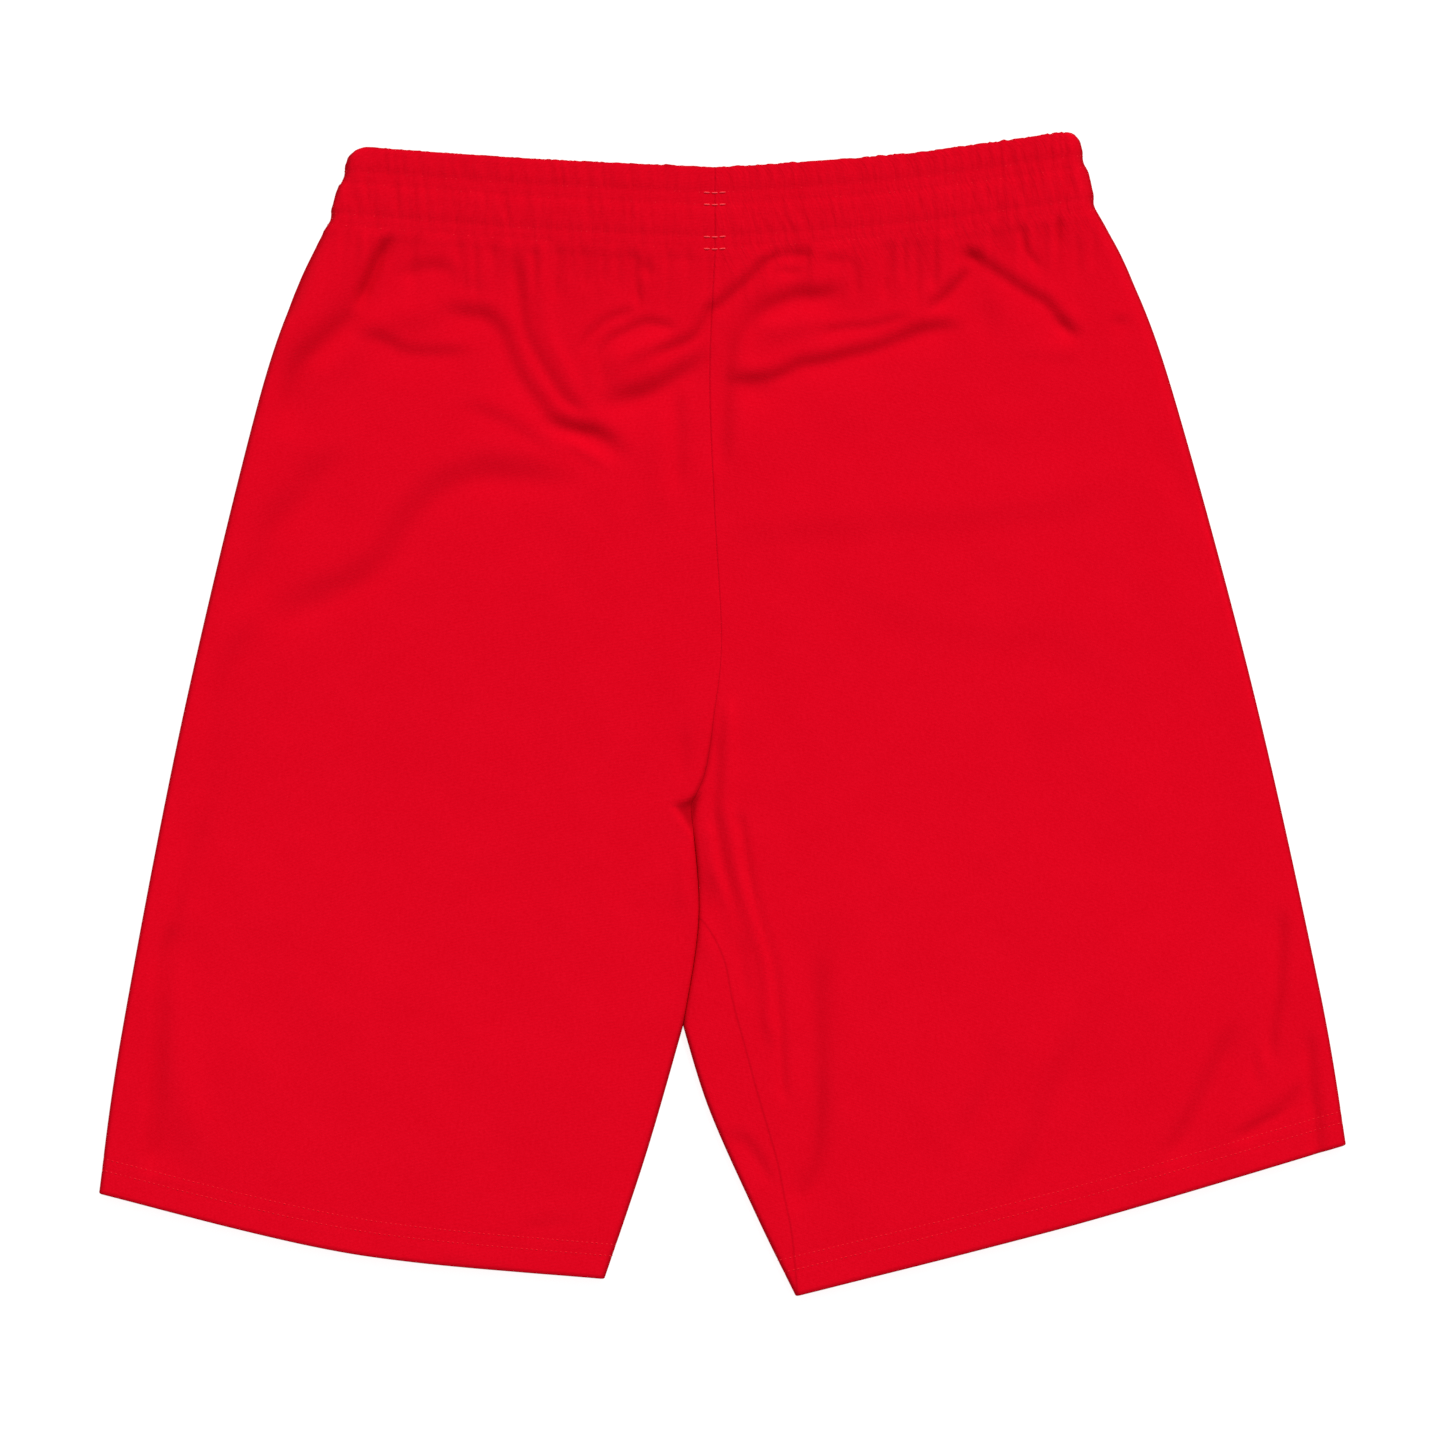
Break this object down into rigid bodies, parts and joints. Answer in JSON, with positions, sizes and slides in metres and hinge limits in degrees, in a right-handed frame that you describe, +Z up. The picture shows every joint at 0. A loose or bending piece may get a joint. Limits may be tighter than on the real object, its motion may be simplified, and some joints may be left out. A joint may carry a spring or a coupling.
{
  "type": "knit shorts",
  "caption": "Knee-length loose knit shorts with a wide elastic waistband and twin-stitched hems, lying flat with the back upwards.",
  "frame": {"origin": "middle of the laid-flat outline, on the surface that the shorts lie on", "axes": "+X towards the wearer's right leg, +Y towards the waistband, +Z up off the surface, out of the garment's back"},
  "size_m": [0.6224, 0.581, 0.0138],
  "materials": {
    "red_knit": "matt red cotton-mix knit",
    "white_elastic": "woven elastic",
    "red_thread": "red sewing thread"
  },
  "bodies": {
    "root": {"back_left_panel": "red_knit", "back_right_panel": "red_knit", "elastic_join_zigzag": "red_thread", "front_left_panel": "red_knit", "front_right_panel": "red_knit", "hem_left_looper_thread": "red_thread", "hem_left_lower_needle_thread": "red_thread", "hem_left_upper_needle_thread": "red_thread", "hem_right_looper_thread": "red_thread", "hem_right_lower_needle_thread": "red_thread", "hem_right_upper_needle_thread": "red_thread", "inseam_left": "red_thread", "inseam_right": "red_thread", "rise_seam_back": "red_thread", "rise_seam_front": "red_thread", "side_seam_left": "red_thread", "side_seam_right": "red_thread", "waist_elastic": "white_elastic", "waist_lower_looper_thread": "red_thread", "waist_lower_lower_needle_thread": "red_thread", "waist_lower_upper_needle_thread": "red_thread", "waist_middle_looper_thread": "red_thread", "waist_middle_lower_needle_thread": "red_thread", "waist_middle_upper_needle_thread": "red_thread"}
  },
  "joints": []
}
